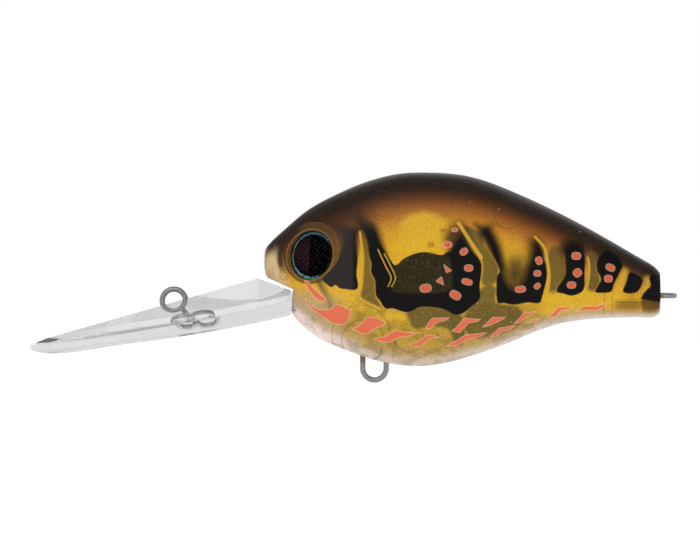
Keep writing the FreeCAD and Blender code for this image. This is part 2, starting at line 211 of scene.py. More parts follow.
# smoke airbrushed round the black patches, (blur, share, outline)
SMOKE = [
    (2.0, 0.6, [
        (9.0, 12.6), (14.0, 17.0), (19.0, 16.6), (20.6, 13.0), (17.0, 12.0), (14.0, 10.4), (10.0, 12.4),
    ]),
    (1.1, 0.85, [(17.4, 15.4), (18.4, 14.8), (20.6, 13.4), (18.0, 12.0), (17.2, 13.4)]),
    (1.3, 0.9, [(33.8, 10.2), (34.8, 12.8), (37.4, 13.6), (38.8, 10.6), (38.4, 7.4), (35.4, 7.6)]),
    (0.9, 0.9, [
        (39.4, 13.6), (42.0, 12.6), (44.0, 9.6), (45.2, 5.4), (44.2, 5.0), (42.6, 8.0), (41.0, 11.0),
    ]),
    (1.5, 0.6, [(49.6, 10.4), (52.0, 10.4), (52.6, 7.4), (52.0, 2.0), (50.0, 4.0)]),
    (1.0, 0.75, [(56.2, 10.4), (60.4, 10.6), (60.4, 8.2), (56.4, 7.8)]),
    (1.0, 0.7, [(62.6, 9.6), (67.2, 8.6), (67.0, 6.6), (63.2, 7.0)]),
    (2.2, 0.8, [(45.2, 5.6), (50.2, 5.6), (49.8, 1.0), (47.6, -1.0), (45.4, 1.0)]),
    (0.8, 0.55, [(66.8, -1.3), (70.6, -1.1), (70.8, -2.9), (66.8, -2.9)]),
    (0.5, 0.8, [(71.7, 0.4), (76.4, 0.4), (76.4, -3.3), (71.9, -3.3)]),
]
# painted light: soft patches of brighter gold where light shines through the amber
PAINTED_GLOW = [
    [(11.2, 2.6), (13.5, 1.2), (17.3, 0.7), (17.7, -0.3), (16.5, -2.6), (14.9, -3.2), (13.0, -1.4)],
    [
        (18.6, -1.2), (21.6, -2.8), (25.8, -3.4), (27.2, -5.4), (26.2, -6.4), (23.4, -5.2),
        (21.0, -4.6), (17.6, -2.4),
    ],
    [(26.0, 8.4), (26.0, 13.8), (30.6, 15.6), (34.8, 13.2), (34.4, 9.6), (30.4, 8.4)],
    [(53.0, -2.4), (54.4, 0.4), (60.6, 0.4), (66.0, 0.0), (67.6, -1.4), (58.0, -3.4), (52.6, -3.8)],
    [(66.4, 1.0), (67.6, 4.6), (68.6, 4.4), (68.0, 2.0), (67.2, -0.6), (66.0, -0.6)],
    [(71.4, 1.0), (72.2, 3.2), (73.0, 2.8), (72.6, 0.8), (71.2, -0.6), (70.2, -0.2)],
]
# ---- paint: orange spots (x, z, half width, half height, turn in degrees) and triangles ----
SPOTS = [
    (34.5, 9.5, 0.85, 0.62, 5), (37.6, 8.2, 0.75, 0.6, 35), (38.5, 5.1, 0.78, 0.62, 0),
    (38.2, 2.5, 0.95, 0.55, -15), (36.0, 0.0, 1.05, 0.75, -30), (30.4, 1.3, 1.05, 0.75, 5),
    (51.8, 6.5, 0.62, 0.72, 20), (51.5, 4.1, 0.66, 0.55, 0), (51.5, 1.7, 0.6, 0.5, 40),
    (48.3, 1.1, 0.95, 0.6, 5), (58.9, 7.4, 0.85, 0.68, 0), (59.1, 4.2, 0.78, 0.75, 40),
    (58.0, 1.9, 0.8, 0.62, 0), (65.4, 5.2, 0.85, 0.62, -25), (65.0, 3.1, 0.75, 0.65, 0),
    (35.9, 12.3, 0.55, 0.36, 10),
]
SQUARENESS = 2.6       # 2 would make the spots plain ovals
TRIANGLES = [[(33.8, 5.8), (35.3, 4.6), (34.3, 4.2)], [(32.3, 2.6), (33.4, 3.5), (33.8, 1.9)]]
FAINT_SPOTS = [
    (31.4, 9.5, 0.75, 0.6, 0), (33.6, 12.2, 0.6, 0.45, 0),
    (47.5, 4.9, 0.7, 0.6, 0), (47.5, 1.9, 0.5, 0.4, 0),
]
# ---- paint: salmon dashes along the lower side ----
DASHES = [
    [
        (7.5, 2.7), (8.2, 2.7), (9.2, 1.4), (10.6, 0.1), (11.6, -0.6), (11.4, -1.2), (10.2, -1.1),
        (9.2, -0.1), (8.2, 1.1),
    ],
    [
        (7.6, -0.5), (8.2, -0.9), (9.2, -2.2), (10.6, -2.8), (11.9, -2.8), (12.7, -2.6), (13.4, -1.6),
        (15.0, -2.2), (16.3, -2.9), (16.0, -4.2), (15.5, -5.2), (14.8, -5.7), (12.6, -5.2), (11.1, -4.2),
        (9.2, -2.8), (8.0, -1.5),
    ],
    [
        (16.6, -6.4), (17.9, -5.7), (19.4, -4.1), (21.3, -4.3), (23.1, -5.3), (20.8, -6.3),
        (19.5, -7.4), (17.9, -7.1),
    ],
    [
        (20.6, -8.2), (22.8, -7.8), (24.7, -6.6), (26.6, -7.0), (29.1, -7.1), (27.6, -7.7), (25.4, -8.0),
        (23.7, -8.9), (22.3, -8.9),
    ],
    [
        (27.2, -9.2), (28.8, -8.9), (30.5, -7.6), (31.7, -7.6), (33.2, -8.0), (31.2, -8.2),
        (29.5, -9.7), (28.1, -9.7),
    ],
    [(30.4, -6.4), (30.8, -5.4), (31.7, -4.3), (34.9, -4.3), (34.1, -4.8), (32.5, -5.2), (31.5, -6.3)],
    [(35.3, -6.8), (36.3, -6.0), (37.7, -4.3), (40.8, -4.6), (40.2, -5.0), (38.5, -5.3), (36.9, -7.1)],
    [(34.2, -9.7), (35.5, -9.0), (38.0, -7.5), (42.0, -7.1), (40.8, -7.8), (38.8, -8.2), (36.3, -9.6)],
    [(41.1, -6.1), (42.2, -5.1), (43.0, -4.2), (45.5, -4.2), (44.4, -4.9), (42.4, -5.8)],
    [(42.7, -7.9), (44.4, -6.2), (47.5, -5.7), (46.6, -6.4), (45.0, -6.8), (43.8, -7.8)],
    [(47.2, -5.4), (48.9, -3.5), (51.4, -3.0), (50.5, -3.7), (49.4, -4.2), (48.0, -5.3)],
    [(49.7, -5.3), (50.8, -4.6), (52.3, -4.3), (51.1, -5.0)],
    [(53.7, -4.2), (55.5, -2.3), (58.3, -2.2), (57.2, -2.8), (56.1, -2.9), (55.0, -4.2)],
    [(59.0, -3.2), (60.4, -2.1), (63.1, -2.1), (64.7, -1.4), (64.2, -2.3), (62.8, -2.9), (60.6, -2.9)],
]
# ---- hairlines: rings of the posts and pockets (x, z, radius) and straight ones ----
RINGS = [
    (22.6, 16.9, 2.7), (22.6, 16.9, 2.1), (46.1, 15.2, 2.7), (3.8, 3.8, 0.95), (3.8, 3.8, 0.5),
    (18.2, -7.4, 5.5), (18.6, -8.7, 4.0), (27.3, -8.1, 2.7), (41.3, -3.4, 1.5), (41.3, -3.4, 0.8),
    (61.9, 2.0, 1.3), (61.9, 2.0, 0.7),
]
HAIRLINES = [
    [(15.5, -2.8), (17.7, -0.5)],
    [(16.9, 15.6), (17.1, 13.3), (17.7, 12.2)],
    [(35.0, -3.2), (36.6, -8.6)],
    [(36.8, -3.6), (38.0, -8.4)],
    [(46.3, -2.0), (46.4, -6.4)],
    [(47.9, -2.0), (48.0, -5.6)],
    [(64.4, 0.2), (64.2, -3.6)],
    [(65.9, 0.2), (65.7, -3.8)],
    [(66.4, -1.3), (73.8, -1.5)],
    [(22.0, -9.4), (21.9, -11.6)],
    [(24.5, -9.0), (24.3, -12.0)],
    [(71.6, -1.2), (71.8, -3.2)],
]

# ---- colours, as red, green and blue from 0 to 255 ----
BACK_BROWN = (66, 40, 26)
# the colour of the painted light glowing through the amber
GLOW_GOLD = (220, 174, 44)
# the back's airbrushed fade: (millimetres below the top of the back, colour)
BACK_FADE = [
    (0.0, (33, 26, 24)), (2.3, (34, 26, 23)), (3.4, (46, 29, 22)), (4.6, (80, 46, 25)),
    (5.7, (113, 65, 26)), (6.8, (144, 86, 33)), (8.2, (172, 110, 38)), (9.8, (196, 136, 40)),
    (11.6, (210, 154, 38)), (14.0, (216, 166, 36)),
]
# painted highlight along the moulded ridges
RIDGE_HIGHLIGHT_GOLD = (204, 158, 54)
OLIVE_GREEN = (98, 82, 36)
DEEP_OLIVE = (38, 32, 13)
LOWER_GOLD = (186, 148, 56)
SAND = (188, 162, 122)
BELLY_WHITE = (214, 198, 186)
THROAT_PINK = (250, 226, 222)
NOSE_TAN = (250, 222, 164)
PATCH_BLACK = (9, 7, 6)
CHARCOAL = (42, 38, 36)
SMOKE_BROWN = (34, 22, 12)
SPOT_ORANGE = (212, 92, 60)
SPOT_RIM = (226, 176, 148)
DASH_SALMON = (220, 110, 78)
DASH_RIM = (240, 190, 150)
ARC_GOLD = (142, 102, 54)
# painted shade round the eye and beside its moulded arcs
ARC_SHADE = (48, 31, 20)
MOTTLE_BROWN = (96, 70, 30)
FLAKE_GOLD = (232, 204, 110)
SPECKLE_BROWN = (84, 44, 18)
FINE_BROWN = (110, 60, 22)
HAIR_BROWN = (66, 44, 18)
FAINT_ORANGE = (122, 70, 22)
WINDOW_OLIVE = (78, 68, 28)
DUST_GREY = (196, 184, 168)
SHELL_AMBER = (150, 104, 36)
SHELL_BROWN = (112, 72, 28)
CLEAR_LIGHT = (226, 226, 227)
CLEAR_DARK = (217, 217, 218)
STEEL = (150, 152, 153)
STEEL_DARK = (112, 113, 114)
ROOT_BROWN = (122, 92, 58)
# painted pale cast: the line tie made lighter where it is seen through the bill
PAINTED_PALE_CAST = (214, 216, 218)
BALL_LIGHT = (196, 198, 200)
BALL_DARK = (150, 152, 155)
FOIL_CYAN = (120, 200, 214)
FOIL_TEAL = (34, 122, 122)
FOIL_BLUE = (56, 128, 178)
FOIL_PALE = (150, 216, 222)
FOIL_STREAK = (22, 74, 84)
FOIL_EDGE = (34, 40, 36)
PUPIL_BLACK = (5, 3, 5)
PLUM_DARK = (34, 18, 24)
PLUM_LIGHT = (48, 26, 34)
LENS_DARK = (20, 24, 26)
LENS_LIGHT = (30, 34, 36)
FLOOR_LIGHT = (142, 142, 141)
FLOOR_DARK = (136, 136, 136)

# ---- wires: (node, material, axis, where the tint starts, where it is full, tint) ----
WIRES = [
    # the line tie's tint is a painted pale cast, lighter where it is seen through the bill
    ("line_tie_wire", "tie_steel", "Z", -3.3, -4.1, PAINTED_PALE_CAST),
    ("belly_hanger_wire", "belly_steel", "Z", -13.2, -12.6, ROOT_BROWN),
    ("tail_hanger_wire", "tail_steel", "X", 75.8, 75.4, ROOT_BROWN),
]
BALLS = ("ballast_ball", "front_rattle_ball", "rear_rattle_ball", "tail_rattle_ball")

# ---- studio, in metres and in the model's own frame ----
VIEW_CENTRE = (0.03345, 0.0, 0.00395)
VIEW_WIDTH = 0.133
VIEW_DISTANCE = 1.2
LAMP_TARGET = (0.03, 0.0, 0.0)
LAMP_SIZE = (0.6, 0.4)
# (name, place, watts)
LAMPS = [
    ("top_front", (-0.1, -0.45, 0.5), 1.3),
    ("top_back", (0.15, 0.5, 0.45), 0.9),
]
FLOOR_HALF = 0.8
FLOOR_GLOW = 0.82
SKY_WHITE_UNDER = 0.28     # the sky is white below this height on a unit sphere
SKY_GREY_ABOVE = 0.75      # and grey above this one
SKY_GREY = 0.4


def linear(colour):
    """A 0 to 255 colour as linear red, green, blue and alpha."""
    values = []
    for channel in colour:
        share = channel / 255
        values.append(share / 12.92 if share <= 0.04045 else ((share + 0.055) / 1.055) ** 2.4)
    return (*values, 1.0)


def metres(points):
    """Millimetres from the nose as metres in the model's own frame."""
    return (np.asarray(points, float) + NOSE) * MM


def smooth_step(low, high, value):
    """0 below low, 1 above high, and smooth between."""
    share = np.clip((value - low) / (high - low), 0, 1)
    return share * share * (3 - 2 * share)


# ---------------------------------------------------------------- distances in the side view

def rounded(points, closed):
    """The outline with its corners eased: a Catmull-Rom curve through its points."""
    count = len(points)
    spans = count if closed else count - 1
    table = np.array(points, float)
    result = []
    for i in range(spans):
        if closed:
            a, b, c, d = (table[(i + k) % count] for k in (-1, 0, 1, 2))
        else:
            a, b, c, d = (table[min(max(i + k, 0), count - 1)] for k in (-1, 0, 1, 2))
        for k in range(ROUND_STEPS):
            t = k / ROUND_STEPS
            first = (c - a) * t
            second = (2 * a - 5 * b + 4 * c - d) * t ** 2
            third = (3 * b - a - 3 * c + d) * t ** 3
            result.append(0.5 * (2 * b + first + second + third))
    if not closed:
        result.append(table[-1])
    return np.array(result)


def line_distance(x, z, line):
    """Distance from each place to an open line."""
    nearest = np.full(x.shape, 1e9)
    for (ax, az), (bx, bz) in zip(line[:-1], line[1:]):
        dx, dz = bx - ax, bz - az
        along = np.clip(((x - ax) * dx + (z - az) * dz) / (dx * dx + dz * dz + 1e-12), 0, 1)
        nearest = np.minimum(nearest, np.hypot(x - ax - along * dx, z - az - along * dz))
    return nearest


def outline_distance(x, z, outline):
    """Signed distance from each place to a closed outline, positive inside it."""
    loop = np.vstack([outline, outline[:1]])
    inside = np.zeros(x.shape, bool)
    for (ax, az), (bx, bz) in zip(loop[:-1], loop[1:]):
        crosses = (az > z) != (bz > z)
        height = bz - az if abs(bz - az) > 1e-9 else 1e-9
        inside ^= crosses & (x < (bx - ax) * (z - az) / height + ax)
    distance = line_distance(x, z, loop)
    return np.where(inside, distance, -distance)


def spot_distance(x, z, spot):
    """Signed distance to a turned oval that is a little squared off."""
    cx, cz, half_w, half_h, turn = spot
    angle = math.radians(turn)
    u = ((x - cx) * math.cos(angle) + (z - cz) * math.sin(angle)) / half_w
    v = ((z - cz) * math.cos(angle) - (x - cx) * math.sin(angle)) / half_h
    reach = (np.abs(u) ** SQUARENESS + np.abs(v) ** SQUARENESS) ** (1 / SQUARENESS)
    return (1 - reach) * min(half_w, half_h)


# ---------------------------------------------------------------- the paint film's mesh

def spline_rows(rows, step):
    """Rows of numbers at about even spacing on a natural cubic spline through the given rows."""
    table = np.array(rows, float)
    gaps = np.hypot(np.diff(table[:, 0]), np.diff(table[:, 1]))
    low_gaps = np.hypot(np.diff(table[:, 2]), np.diff(table[:, 3]))
    gaps = np.maximum(gaps, low_gaps)
    at = np.concatenate([[0], np.cumsum(gaps)])
    count = len(at)
    system = np.eye(count)
    right = np.zeros(table.shape)
    for i in range(1, count - 1):
        h0, h1 = at[i] - at[i - 1], at[i + 1] - at[i]
        system[i, i - 1:i + 2] = (h0, 2 * (h0 + h1), h1)
        right[i] = 6 * ((table[i + 1] - table[i]) / h1 - (table[i] - table[i - 1]) / h0)
    bend = np.linalg.solve(system, right)
    result = []
    for i in range(count - 1):
        h = at[i + 1] - at[i]
        parts = max(1, math.ceil(h / step))
        for k in range(parts):
            b = k / parts * h
            a = h - b
            result.append(
                (bend[i] * a ** 3 + bend[i + 1] * b ** 3) / (6 * h)
                + (table[i] / h - bend[i] * h / 6) * a
                + (table[i + 1] / h - bend[i + 1] * h / 6) * b
            )
    result.append(table[-1])
    return np.array(result)


def film_grid(side):
    """Points over one side of the body, rows from nose to tail, columns from back to belly."""
    rows = spline_rows(BODY_SECTIONS, FILM_STEP)
    back = np.stack([rows[:, 0], 0 * rows[:, 0], rows[:, 1]], 1)
    belly = np.stack([rows[:, 2], 0 * rows[:, 2], rows[:, 3]], 1)
    middle, up = (back + belly) / 2, (back - belly) / 2
    half_w = rows[:, 4]
    for end, first in ((0, True), (-1, False)):
        caps = [(middle[end], up[end] * share, half_w[end] * share) for share in CAP_STEPS]
        if first:
            caps.reverse()
        m = np.array([c[0] for c in caps])
        u = np.array([c[1] for c in caps])
        w = np.array([c[2] for c in caps])
        parts = ([m, middle], [u, up], [w, half_w]) if first else ([middle, m], [up, u], [half_w, w])
        middle, up, half_w = (np.concatenate(pair) for pair in parts)
    columns = int(math.pi * GIRTH_RADIUS / FILM_STEP)
    angle = np.linspace(0, math.pi, columns)
    grid = middle[:, None] + up[:, None] * np.cos(angle)[None, :, None]
    grid[:, :, 1] = side * half_w[:, None] * np.sin(angle)[None]
    return grid


def grid_normals(grid, side):
    """Outward unit normals of the grid."""
    along = np.gradient(grid, axis=0)
    across = np.gradient(grid, axis=1)
    normal = np.cross(along, across) * side
    length = np.linalg.norm(normal, axis=2, keepdims=True)
    normal = normal / np.maximum(length, 1e-9)
    normal[0] = (-1, 0, 0)
    normal[-1] = (1, 0, 0)
    return normal


def blurred(values, reach):
    """Values of the grid averaged over a smooth window of reach cells each way."""
    weights = np.hanning(2 * reach + 3)[1:-1]
    weights /= weights.sum()
    for axis in (0, 1):
        pad = [(reach, reach) if k == axis else (0, 0) for k in (0, 1)]
        wide = np.pad(values, pad, mode="edge")
        values = np.apply_along_axis(lambda line: np.convolve(line, weights, "valid"), axis, wide)
    return values


def conformed(grid, normals, node):
    """The grid eased onto the outside of the moulded shell, without taking over its facets."""
    tree = BVHTree.FromObject(node, bpy.context.evaluated_depsgraph_get())
    places = metres(grid)
    gap = np.zeros(grid.shape[:2])
    known = np.zeros(grid.shape[:2])
    for r in range(grid.shape[0]):
        for c in range(0, grid.shape[1], CONFORM_SKIP):
            normal = Vector(normals[r, c])
            start = Vector(places[r, c]) + normal * MM
            hit, _, _, distance = tree.ray_cast(start, -normal, SHELL_REACH * MM)
            if hit is not None:
                gap[r, c] = 1 - distance / MM
                known[r, c] = 1
    share = np.maximum(blurred(known, CONFORM_REACH), 1e-6)
    return grid + normals * (blurred(gap * known, CONFORM_REACH) / share)[..., None]


def eye_axes(side):
    """The eye's centre on the skin, the way it looks, and its rearward and upward axes."""
    yaw, rise = math.radians(EYE_YAW), math.radians(EYE_RISE)
    level = math.cos(rise)
    look = Vector((-math.sin(yaw) * level, side * math.cos(yaw) * level, math.sin(rise)))
    rearward = Vector((0, 0, 1)).cross(look).normalized() * side
    upward = look.cross(rearward) * -side
    if rearward.x < 0:
        rearward.negate()
    if upward.z < 0:
        upward.negate()
    centre = Vector((EYE_CENTRE[0], side * EYE_SURFACE_Y, EYE_CENTRE[1]))
    return centre, look, rearward, upward


def eye_polar(points, side):
    """Distance from the eye's axis and angle about it: 0 is rearward, 90 degrees is up."""
    centre, _, rearward, upward = eye_axes(side)
    offset = points - np.array(centre)
    u = offset @ np.array(rearward)
    v = offset @ np.array(upward)
    return np.hypot(u, v), np.degrees(np.arctan2(v, u))


def upper_rear(angle):
    """1 above and behind the eye, fading to 0 towards the nose and the throat."""
    return smooth_step(-50, -20, angle) * (1 - smooth_step(105, 135, angle))


def ridge(distance, half_width, height):
    """A rounded ridge above the surface."""
    return height * np.clip(1 - (distance / half_width) ** 2, 0, 1) ** 1.5


def relief(points, side):
    """Height of the moulded detail above the smooth body."""
    x, z = points[..., 0], points[..., 2]
    radius, angle = eye_polar(points, side)
    height = ridge(radius - EYE_RIM_R, *EYE_RIM_RELIEF)
    for ring in EYE_ARCS:
        height = height + ridge(radius - ring, *ARC_RELIEF) * upper_rear(angle)
    for width, line in HIGHLIGHTED_RIDGES:
        distance = line_distance(x, z, rounded(line, False))
        height = height + ridge(distance, width * 0.8, RIDGE_RELIEF * width / GILL_WIDTH)
    for outline in RAISED_PATCHES:
        inside = outline_distance(x, z, rounded(outline, True))
        height = height + PATCH_STEP * smooth_step(-0.25, 0.35, inside)
    for cx, cz, ring in RINGS:
        height = height + ridge(np.hypot(x - cx, z - cz) - ring, *RING_RELIEF)
    return height


def cut_field(points, side):
    """Positive where the film covers the body, negative over the eye socket and the chin notch."""
    radius, _ = eye_polar(points, side)
    by_the_eye = (points[..., 1] * side > EYE_FLANK_Y) & (points[..., 0] < HEAD_END_X)
    socket = np.where(by_the_eye, radius - EYE_R - CUT_MARGIN, UNCUT)
    notch = -outline_distance(points[..., 0], points[..., 2], np.array(NOTCH))
    return np.minimum(socket, notch - CUT_MARGIN)


def trimmed(grid, field):
    """Moves the points next to the edge of the cut-out onto it, and lists the faces that stay."""
    rows, columns = field.shape
    points, value = grid.copy(), field.copy()
    for dr, dc in ((0, 1), (1, 0)):
        a = (slice(0, rows - dr), slice(0, columns - dc))
        b = (slice(dr, rows), slice(dc, columns))
        fa, fb = field[a], field[b]
        crossing = (fa * fb) < 0
        share = np.where(crossing, fa / np.where(crossing, fa - fb, 1), 0)
        place = grid[a] + (grid[b] - grid[a]) * share[..., None]
        to_a, to_b = crossing & (share <= 0.5), crossing & (share > 0.5)
        points[a][to_a] = place[to_a]
        value[a][to_a] = 0
        points[b][to_b] = place[to_b]
        value[b][to_b] = 0
    faces = []
    index = np.arange(rows * columns).reshape(rows, columns)
    kept = value >= 0
    for r in range(rows - 1):
        for c in range(columns - 1):
            corners = ((r, c), (r + 1, c), (r + 1, c + 1), (r, c + 1))
            loop = [int(index[k]) for k in corners if kept[k]]
            if len(loop) < 3:
                continue
            if all(value[k] == 0 for k in corners if kept[k]) and len(loop) == 3:
                continue
            faces.append(loop)
    return points, faces


def mesh_object(name, points, faces):
    """A smooth-shaded mesh object from points in millimetres from the nose."""
    used = sorted({i for face in faces for i in face})
    renumber = {old: new for new, old in enumerate(used)}
    mesh = bpy.data.meshes.new(name)
    places = metres(points.reshape(-1, 3)[used])
    mesh.from_pydata([tuple(p) for p in places], [], [[renumber[i] for i in face] for face in faces])
    mesh.polygons.foreach_set("use_smooth", [True] * len(mesh.polygons))
    piece = bpy.data.objects.new(name, mesh)
    bpy.context.scene.collection.objects.link(piece)
    return piece, np.array(used)


def store(piece, name, values):
    """A number at each vertex, for the material to read."""
    attribute = piece.data.attributes.new(name, "FLOAT", "POINT")
    attribute.data.foreach_set("value", np.ascontiguousarray(values, np.float32))


def store_colour(piece, name, values):
    """A colour at each vertex, for the material to read."""
    attribute = piece.data.attributes.new(name, "FLOAT_COLOR", "POINT")
    attribute.data.foreach_set("color", np.ascontiguousarray(values, np.float32).ravel())


def mixed(colours, colour, share):
    """The colours with another laid over them by share."""
    target = np.array(linear(colour))
    return colours + (target - colours) * share[:, None]


def coat_colours(x, z, depth, rise, radius, angle):
    """The soft airbrushed colours under the patterns, with painted light glowing in the gold and painted
    shade round the eye.
    """
    shades = np.array([linear(colour) for _, colour in BACK_FADE])
    stops = [stop for stop, _ in BACK_FADE]
    scale = np.interp(x, [0, 12, 20, 60, 75], [1.25, 1.0, 1.0, 1.15, 1.4])
    colours = np.stack([np.interp(depth * scale, stops, shades[:, k]) for k in range(4)], 1)
    brow = smooth_step(19, 12, x) * smooth_step(3, 7, z) * smooth_step(3.0, 6.0, depth)
    colours = mixed(colours, BACK_BROWN, 0.65 * brow)
    lower = smooth_step(0.5, -3.5, z + 0.06 * (x - 30))
    colours = mixed(colours, LOWER_GOLD, lower)
    for outline in OLIVE:
        inside = outline_distance(x, z, rounded(outline, True))
        colours = mixed(colours, OLIVE_GREEN, 0.9 * smooth_step(-0.35, 0.35, inside))
    second = outline_distance(x, z, rounded(SECOND_WINDOW, True))
    haze = smooth_step(0.2, 1.6, second) * smooth_step(9.5, 5.5, z)
    colours = mixed(colours, OLIVE_GREEN, 0.75 * haze)
    # painted light: brighter gold where light shines through the amber
    for outline in PAINTED_GLOW:
        inside = outline_distance(x, z, rounded(outline, True))
        colours = mixed(colours, GLOW_GOLD, 0.8 * smooth_step(-0.9, 0.7, inside))
    for blur, share, outline in SMOKE:
        inside = outline_distance(x, z, rounded(outline, True))
        colours = mixed(colours, SMOKE_BROWN, share * smooth_step(-blur, blur, inside))
    colours = pale_underside(colours, x, z, depth, rise)
    return eye_surround(colours, radius, angle)


def pale_underside(colours, x, z, depth, rise):
    """The tan nose, the sandy throat and the fade to white along the belly."""
    nose = smooth_step(5.0, 1.5, x + 0.35 * (z - 4)) * smooth_step(0.8, 3.6, depth)
    colours = mixed(colours, NOSE_TAN, 0.9 * nose)
    throat = smooth_step(17.0, 7.0, x + 0.25 * z)
    colours = mixed(colours, SAND, throat * smooth_step(2.5, -2.0, z) * 0.85)
    fade = np.interp(x, [0, 8, 20, 40, 60, 75], [5.0, 5.5, 3.6, 3.0, 2.2, 1.2])
    colours = mixed(colours, SAND, 0.8 * smooth_step(1.35, 0.3, rise / fade))
    chin = smooth_step(3.0, 6.5, x)
    colours = mixed(colours, BELLY_WHITE, chin * smooth_step(0.75, 0.05, rise / fade))
    return mixed(colours, THROAT_PINK, 0.8 * chin * throat * smooth_step(3.2, 1.2, rise))


def eye_surround(colours, radius, angle):
    """Painted shade in a curved band ahead of the eye, in a ring round its rim and just outside each arc
    over and behind it; and the gold of the rim bead and the arcs.
    """
    ahead = smooth_step(35, 15, np.abs(np.abs(angle) - 180))
    # painted shade in a curved band ahead of the eye
    crescent_shade = smooth_step(0.9, 0.2, np.abs(radius - 6.4)) * ahead
    colours = mixed(colours, ARC_SHADE, 0.9 * crescent_shade)
    # painted shade in a ring just outside the rim bead
    rim = smooth_step(0.55, 0.3, np.abs(radius - 5.1))
    colours = mixed(colours, ARC_SHADE, 0.8 * rim)
    bead = smooth_step(0.22, 0.08, np.abs(radius - EYE_RIM_R))
    colours = mixed(colours, ARC_GOLD, 0.75 * bead)
    for ring in EYE_ARCS:
        crest = smooth_step(0.2, 0.05, np.abs(radius - ring)) * upper_rear(angle)
        colours = mixed(colours, ARC_GOLD, 0.45 * crest)
        # painted shade just outside each raised arc
        valley_shade = smooth_step(0.22, 0.05, np.abs(radius - ring - 0.22)) * upper_rear(angle)
        colours = mixed(colours, ARC_SHADE, 0.7 * valley_shade)
    return colours


def combined(distances):
    """The signed distance to several shapes together."""
    return np.max(np.stack(distances), axis=0)


def paint_film(side, name):
    """The painted outside of one half of the body, as a film with relief and paint distances."""
    grid = film_grid(side)
    normals = grid_normals(grid, side)
    grid = conformed(grid, normals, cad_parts["body_shell_" + SIDES[side]])
    grid = grid + normals * (FILM_GAP + relief(grid, side))[..., None]
    grid[:, :, 1] = side * np.maximum(side * grid[:, :, 1], FILM_SEAM)
    points, faces = trimmed(grid, cut_field(grid, side))
    if side > 0:
        faces = [face[::-1] for face in faces]
    piece, used = mesh_object(name, points, faces)
    flat = points.reshape(-1, 3)[used]
    x, z = flat[:, 0], flat[:, 2]
    top, bottom = grid[:, 0], grid[:, -1]
    depth = np.interp(x, top[:, 0], top[:, 2]) - z
    rise = z - np.interp(x, bottom[:, 0], bottom[:, 2])
    radius, angle = eye_polar(flat, side)
    store_colour(piece, "coat", coat_colours(x, z, depth, rise, radius, angle))
    store(piece, "depth_mm", depth)
    store_patches(piece, x, z)
    store_marks(piece, x, z)
    return piece


def store_patches(piece, x, z):
    """Distances to the dark patches and their windows, and how soft the patches' edges are."""
    store(piece, "black_mm", combined([outline_distance(x, z, rounded(o, True)) for o in BLACKS]))
    soft_top = smooth_step(5.5, 11.0, z) * smooth_step(12, 14, x)
    soft_front = smooth_step(58.6, 56.0, x) * smooth_step(54.4, 55.2, x) * smooth_step(1.5, 3.0, z)
    store(piece, "black_blur", 0.13 + 0.9 * soft_top + 0.6 * soft_front)
    first, second = (outline_distance(x, z, rounded(o, True)) / blur for blur, o in WINDOWS)
    store(piece, "window_share", np.maximum(smooth_step(-1, 1, first), smooth_step(-1, 1, second)))
    store(piece, "claw_mm", outline_distance(x, z, rounded(FIRST_CLAW, True)))
    store(piece, "window_mm", outline_distance(x, z, rounded(FIRST_WINDOW, True)))


def store_marks(piece, x, z):
    """Distances to the ridges' painted highlights, the spots, the dashes and the hairlines."""
    gold = [width / 2 - line_distance(x, z, rounded(line, False)) for width, line in HIGHLIGHTED_RIDGES]
    store(piece, "ridge_highlight_mm", combined(gold))
    spots = [spot_distance(x, z, spot) for spot in SPOTS]
    spots += [outline_distance(x, z, np.array(o)) for o in TRIANGLES]
    store(piece, "spot_mm", combined(spots))
    store(piece, "faint_mm", combined([spot_distance(x, z, spot) for spot in FAINT_SPOTS]))
    store(piece, "dash_mm", combined([outline_distance(x, z, np.array(o)) for o in DASHES]))
    hair = [-np.abs(np.hypot(x - cx, z - cz) - r) for cx, cz, r in RINGS]
    hair += [-line_distance(x, z, np.array(line)) for line in HAIRLINES]
    store(piece, "hair_mm", combined(hair))


def lens(side, name):
    """The clear dome of one eye: a shallow cap on a short rim, flat underneath."""
    centre, look, rearward, upward = eye_axes(side)
    ball_r = (LENS_R ** 2 + LENS_RISE ** 2) / (2 * LENS_RISE)
    profile = [
        (0.0, LENS_BASE),
        (LENS_R / 2, LENS_BASE),
        (LENS_R - LENS_BEVEL, LENS_BASE),
        (LENS_R, LENS_BASE + LENS_BEVEL),
    ]
    for k in range(LENS_RINGS + 1):
        radius = LENS_R * (1 - k / LENS_RINGS)
        height = LENS_RISE - ball_r + math.sqrt(ball_r ** 2 - radius ** 2)
        profile.append((radius, max(height + LENS_FOOT, LENS_BASE + LENS_RIM)))
    points = []
    for radius, height in profile:
        for k in range(LENS_SPOKES):
            angle = 2 * math.pi * k / LENS_SPOKES
            across = rearward * (radius * math.cos(angle)) + upward * (radius * math.sin(angle))
            points.append(centre + look * height + across)
    faces = []
    for ring in range(len(profile) - 1):
        for k in range(LENS_SPOKES):
            a = ring * LENS_SPOKES + k
            b = ring * LENS_SPOKES + (k + 1) % LENS_SPOKES
            faces.append([a, b, b + LENS_SPOKES, a + LENS_SPOKES])
    piece, _ = mesh_object(name, np.array([tuple(p) for p in points]), faces)
    mesh = bmesh.new()
    mesh.from_mesh(piece.data)
    bmesh.ops.remove_doubles(mesh, verts=mesh.verts, dist=MERGE)
    bmesh.ops.recalc_face_normals(mesh, faces=mesh.faces)
    mesh.to_mesh(piece.data)
    mesh.free()
    return piece


# ---------------------------------------------------------------- materials

